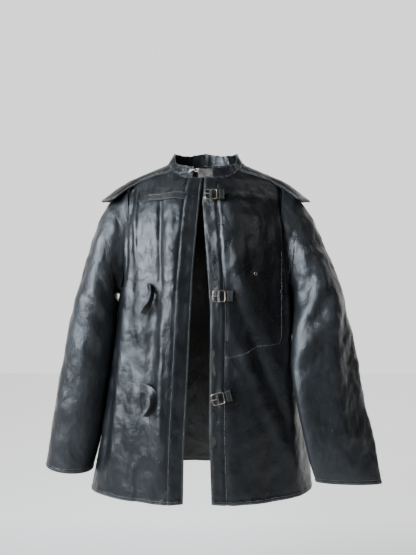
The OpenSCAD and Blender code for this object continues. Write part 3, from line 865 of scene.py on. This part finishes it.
def build_collar():
    """The stand collar, its facing and the tab behind the gap in front."""
    band = collar_grid(-350, -20)
    obj = grid_object("visual_collar_band", band, COLLAR_LEATHER)
    finish_piece(obj, PANEL, nodes=("collar_band",))
    show_flesh_side(obj)
    facing = collar_grid(-348.5, -21.5)
    facing = facing - normals_of(facing) * 2.6
    obj = grid_object("visual_collar_facing", facing, COLLAR_LINING)
    # The collar's inside takes the darker leather: painted shade.
    finish_piece(obj, CALM_PAINTED_SHADE, nodes=("collar_facing",))
    columns = np.arange(2, band.shape[1] - 2.0)
    stitch_object("stitch_collar", [surface_line(band, r, columns) for r in (1.6, 13.2)])
    tab = collar_point(np.linspace(-12, 24, 30)[None, :], np.linspace(0.9, 0.08, 10)[:, None])
    tab = tab + normals_of(tab) * (-4.8 + 0.5 * crumple(tab, 12, 61))[..., None]
    obj = grid_object("visual_collar_tab", tab, THIN_LAYER)
    finish_piece(obj, TAPE, nodes=("collar_tab",))


# ---------------------------------------------------------------- inside pieces

# Where the pocket bag starts, and how wide it is.
POCKET_X = 45.0
POCKET_W = 112


def inside_patch(name, node, low, high, from_x, wide, folds, cols=24):
    """A strip sewn behind a front panel, following its folds."""
    z = np.linspace(high, low, 90)[:, None]
    x = from_x(z) + wide * np.linspace(0, 1, cols)[None, :]
    points = np.stack([x, front_y(x, z), np.broadcast_to(z, x.shape)], axis=-1)
    depth = folds(x, z) * smooth(-30, -80, z) * 0.35 - 4.6 + 0.5 * crumple(points, 30, 71)
    points = points + normals_of(points) * depth[..., None]
    obj = finish_piece(grid_object(name, points, THIN_LAYER), FLESH, nodes=(node,))


def right_facing_start(z):
    """X at which the right facing starts."""
    return look(RIGHT_EDGE, z) - (FACING_W + 1)


def left_facing_start(z):
    """X at which the left facing starts."""
    return look(LEFT_EDGE, z) + 1


def pocket_start(z):
    """X at which the pocket bag starts."""
    return np.full_like(z, POCKET_X)


def build_inside():
    """The facings behind the front edges, and the pocket bag."""
    for name, node, low, start, folds in (
        ("visual_facing_right", "front_right_facing", -732, right_facing_start, right_folds),
        ("visual_facing_left", "front_left_facing", -734, left_facing_start, left_folds),
    ):
        inside_patch(name, node, low, -62, start, FACING_W, folds)
    inside_patch("visual_pocket_bag", "pocket_bag", -422, -190, pocket_start, POCKET_W, left_folds, 50)


# ---------------------------------------------------------------- straps and buckles


def band_object(name, path, widths, thick, cols=7, wrap=False):
    """A strap: a path with a width vector at each place."""
    share = np.linspace(1, -1, cols)[:, None, None]
    grid = path[None] + widths[None] * share
    return grid_object(name, grid, thick, wrap=wrap), grid


def strap_path(places):
    """Places are [x, z, lift, turn of the width, share of the width, tip of the width]."""
    p = curve_at(places, np.linspace(0, 1, STRAP_STEPS))
    turn, tip = np.radians(p[:, 3]), np.radians(p[:, 5])
    half = STRAP_W / 2 * p[:, 4]
    path = np.stack([p[:, 0], front_y(p[:, 0], p[:, 1]) - p[:, 2], p[:, 1]], axis=1)
    widths = np.stack(
        [half * np.sin(turn) * np.cos(tip), -half * np.sin(tip), half * np.cos(turn) * np.cos(tip)],
        axis=1,
    )
    return path, widths


def lie_on(path, widths, until):
    """The sewn part's width follows the slope of the panel."""
    for k in range(until):
        x, z = path[k, 0], path[k, 2]
        up = front_y(x, z + 9) - front_y(x, z - 9)
        widths[k] = np.array([0, up / 2, 9]) * np.linalg.norm(widths[k]) / math.hypot(up / 2, 9)
    return widths


def sewn(x, z, length, lift):
    """Places along the sewn part of a strap."""
    return [(x + length * s, z, lift, 0, 1, 0) for s in (0, 0.25, 0.5, 0.75)]


# Each strap: x, length and z of its sewn part, then the places of its free end from there.
STRAPS = {
    "top": (
        -127, 26, -83,
        [(16, 1, 7, 0, 1, 0), (34, 2, 8, 0, 1, 0), (50, 0, 6.5, 0, 1, 0), (55, -1, 5.5, 0, 0.96, 0)],
    ),
    "middle": (
        -152, 27, -283,
        [(7, -3, 11, -15, 1, 20), (10, -13, 16, -42, 1, 60), (6, -28, 15, -78, 1, 66)]
        + [(-2, -44, 15, -72, 1, 40), (-9, -56, 15, -62, 0.75, 24)],
    ),
    "lower": (
        -172, 32, -498,
        [(14, -1, 9, 10, 1, 0), (27, -9, 15, 52, 1, -20), (30, -24, 16, 82, 1, -42)]
        + [(24, -42, 14, 106, 1, -50), (12, -58, 13, 118, 0.7, -40)],
    ),
}
STRAP_STEPS = 60


def build_strap(word, x, length, z, free):
    """One closure strap: a sewn part on the front and its free end."""
    end = x + length + 0.6
    places = sewn(x, z, length, 3.4) + [(end, z, 3.6, 0, 1, 0)]
    places += [(end + p[0], z + p[1], *p[2:]) for p in free]
    path, widths = strap_path(places)
    count = int(STRAP_STEPS * 4 / (len(places) - 1))
    widths = lie_on(path, widths, count if word != "top" else STRAP_STEPS)
    obj, grid = band_object(f"visual_strap_{word}", path, widths, STRAP_LEATHER)
    nodes = (f"strap_{word}_anchor", f"strap_{word}_free")
    finish_piece(obj, STRAP, body=None, nodes=nodes)
    obj.data.materials.append(RAW)
    obj.modifiers["thick"].material_offset_rim = 1
    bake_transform(obj)
    stitch_box(word, grid, count - 2)


def stitch_box(word, grid, last):
    """The box and cross that hold the sewn end."""
    low, high, first = 0.9, 5.1, 1.5
    box = ((low, first), (low, last), (high, last), (high, first), (low, first))
    corners = box + ((high, last), (low, last), (high, first))
    rows = np.concatenate([np.linspace(a[0], b[0], 12) for a, b in zip(corners, corners[1:])])
    cols = np.concatenate([np.linspace(a[1], b[1], 12) for a, b in zip(corners, corners[1:])])
    stitch_object(f"stitch_strap_{word}", [surface_line(grid, rows, cols)], **FINE_STITCH)


# How far a buckle's centre bar stands out from the front surface.
BUCKLE_LIFT = 7


def slope(x, z):
    """The turns about X and Z that lay a piece on the front surface."""
    lean = math.atan2(float(front_y(x, z + 6) - front_y(x, z - 6)), 12)
    yaw = math.atan2(float(front_y(x + 6, z) - front_y(x - 6, z)), 12)
    return lean, yaw


def buckle_frame_matrix(x, z, roll):
    """Rotation and place of a buckle: the centre bar is its Z axis and out is -Y."""
    lean, yaw = slope(x, z)
    cx, sx, cz, sz = math.cos(-lean), math.sin(-lean), math.cos(yaw), math.sin(yaw)
    about_x = np.array([(1, 0, 0), (0, cx, -sx), (0, sx, cx)])
    about_z = np.array([(cz, -sz, 0), (sz, cz, 0), (0, 0, 1)])
    cy, sy = math.cos(math.radians(roll)), math.sin(math.radians(roll))
    about_y = np.array([(cy, 0, sy), (0, 1, 0), (-sy, 0, cy)])
    lay = about_x @ about_z
    place = np.array([x, float(front_y(x, z)), z]) + lay @ np.array([0, -BUCKLE_LIFT, 0])
    return lay @ about_y, place


# Each buckle: x and z of its centre bar, and its roll in degrees.
BUCKLES = {"top": (11.5, -84, 0), "middle": (28, -301, 0), "lower": (26, -516, -14)}


# Radius of the chape's bend round the bar.
CHAPE_BEND = 3.3


def build_buckle(word, x, z, roll):
    """One buckle: a chape folded round the centre bar, a keeper and the metal pieces."""
    turn, place = buckle_frame_matrix(x, z, roll)
    angles = np.linspace(-0.4, math.pi + 0.2, 16)
    wrap = [(-CHAPE_BEND * math.sin(a), -CHAPE_BEND * math.cos(a)) for a in angles]
    loop = [(17.5, 4.8), (12, 4.7), (8.4, 4.4), (5.2, 1.8)] + wrap + [(3, 4.6), (8, 5.7), (17.5, 5.9)]
    chape = curve_at([(p[0], p[1], 0) for p in loop], np.linspace(0, 1, 70)) @ turn.T + place
    width = np.tile(turn @ np.array([0, 0, 8.4]), (70, 1))
    obj, grid = band_object(f"visual_chape_{word}", chape, width, CHAPE_LEATHER)
    finish_piece(obj, STRAP, nodes=(f"buckle_{word}_chape",))
    lines = [surface_line(grid, np.linspace(0.8, 5.2, 14), c, 0.2) for c in (2, 5)]
    stitch_object(f"stitch_chape_{word}", lines, **FINE_STITCH)
    build_keeper(word, turn, place)
    for part in ("frame", "tongue"):
        dress_node(f"buckle_{word}_{part}", METAL)


def build_keeper(word, turn, place):
    """A flat loop of leather that stands over the placket beside the buckle."""
    angles = np.linspace(0, 2 * math.pi, 64, endpoint=False)
    square = 0.28
    high = 11.4 * np.sign(np.sin(angles)) * np.abs(np.sin(angles)) ** square
    deep = 3.9 * np.sign(np.cos(angles)) * np.abs(np.cos(angles)) ** square
    path = np.stack([np.full(64, 23.0), 1.9 + deep, high], axis=1) @ turn.T + place
    width = np.tile(turn @ np.array([5.1, 0, 0]), (64, 1))
    obj, _ = band_object(f"visual_keeper_{word}", path, width, KEEPER_LEATHER, wrap=True)
    finish_piece(obj, STRAP, nodes=(f"buckle_{word}_keeper",))


# ---------------------------------------------------------------- thread on the panels


# The column of the left front that runs down the middle of the pocket.
POCKET_COLUMN = 55


def nearest_columns(grid, places):
    """Fractional rows and columns of a panel's grid at places seen from the front."""
    rows, cols = [], []
    heights = grid[:, POCKET_COLUMN, 2]
    for x, z in places:
        r = float(np.interp(-z, -heights, np.arange(len(grid))))
        line = grid[int(round(r))]
        rows.append(r)
        cols.append(float(np.interp(x, line[:, 0], np.arange(len(line)))))
    return np.array(rows), np.array(cols)


def stitch_pocket(left):
    """The pocket bag's stitch line shows on the outside of the left front."""
    corners = ((168, -188), (167, -300), (166, -396), (160, -409), (104, -418), (46, -430))
    places = np.concatenate([np.linspace(a, b, 20) for a, b in zip(corners, corners[1:])])
    rows, cols = nearest_columns(left, places)
    stitch_object("stitch_pocket", [surface_line(left, rows, cols)])


# ---------------------------------------------------------------- light and floor


def add_world():
    """Soft light: a pale room behind the jacket and a dim one in front of it."""
    world = bpy.data.worlds.new("room")
    bpy.context.scene.world = world
    world.use_nodes = True
    tree = world.node_tree
    coordinates = tree.nodes.new("ShaderNodeTexCoord")
    split = tree.nodes.new("ShaderNodeSeparateXYZ")
    tree.links.new(coordinates.outputs["Generated"], split.inputs["Vector"])
    shade = ramp(tree, split.outputs["Y"], ((0.1, (0.02, 0.021, 0.024)), (0.55, (1.5, 1.51, 1.5))))
    tree.links.new(shade.outputs["Color"], tree.nodes["Background"].inputs["Color"])


def add_light(name, place, target, size, power, colour):
    """A soft rectangular light that faces a target."""
    data = bpy.data.lights.new(name, "AREA")
    data.shape = "RECTANGLE"
    data.size, data.size_y = size
    data.energy = power
    data.spread = math.radians(100)
    data.color = colour
    light = bpy.data.objects.new(name, data)
    light.location = place
    aim = Vector(target) - Vector(place)
    light.rotation_euler = aim.to_track_quat("-Z", "Y").to_euler()
    bpy.context.scene.collection.objects.link(light)


FLOOR_HALF = 4000
FLOOR_Z = -1300


def add_floor():
    """A pale floor that glows with painted light towards the back, so that it fades into the light room
    behind the jacket.
    """
    corners = [(x * FLOOR_HALF, y * FLOOR_HALF, FLOOR_Z) for x, y in ((-1, -1), (1, -1), (1, 1), (-1, 1))]
    floor = new_object("floor", corners, [(0, 1, 2, 3)])
    material, tree, shader = new_material("floor_paint", 0.8)
    speckle = noise_node(tree, 3, 3)
    colour = ramp(tree, speckle.outputs["Fac"], ((0.3, (0.70, 0.70, 0.69)), (0.7, (0.74, 0.74, 0.73))))
    tree.links.new(colour.outputs["Color"], shader.inputs["Base Color"])
    coordinates = tree.nodes.new("ShaderNodeTexCoord")
    split = tree.nodes.new("ShaderNodeSeparateXYZ")
    tree.links.new(coordinates.outputs["Object"], split.inputs["Vector"])
    # Painted light: the floor glows, none in front and bright behind, to blend with the room's light.
    glow = ramp(tree, split.outputs["Y"], ((0.1, (0, 0, 0)), (0.9, (0.92, 0.92, 0.91))))
    tree.links.new(glow.outputs["Color"], shader.inputs["Emission Color"])
    shader.inputs["Emission Strength"].default_value = 1.0
    floor.data.materials.append(material)


# ---------------------------------------------------------------- the jacket

left_front = build_panels()
build_yoke()
build_sleeve(RIGHT_STATIONS, -1)
build_sleeve(LEFT_STATIONS, 1)
build_collar()
build_inside()
for word, (x, length, z, free) in STRAPS.items():
    build_strap(word, x, length, z, free)
for word, (x, z, roll) in BUCKLES.items():
    build_buckle(word, x, z, roll)
stitch_pocket(left_front)
for name, material in (("collar_hook", HOOK), ("collar_eye", HOOK), ("chest_eyelets", METAL)):
    dress_node(name, material)

add_world()
add_light("window", (-1.6, -1.4, 0.42), (-0.1, 0, -0.25), (1.7, 1.9), 62, (0.78, 0.89, 1.0))
add_light("room", (1.3, -1.6, 0.9), (0, 0, -0.3), (0.8, 0.8), 1.2, (1.0, 0.97, 0.93))
add_floor()
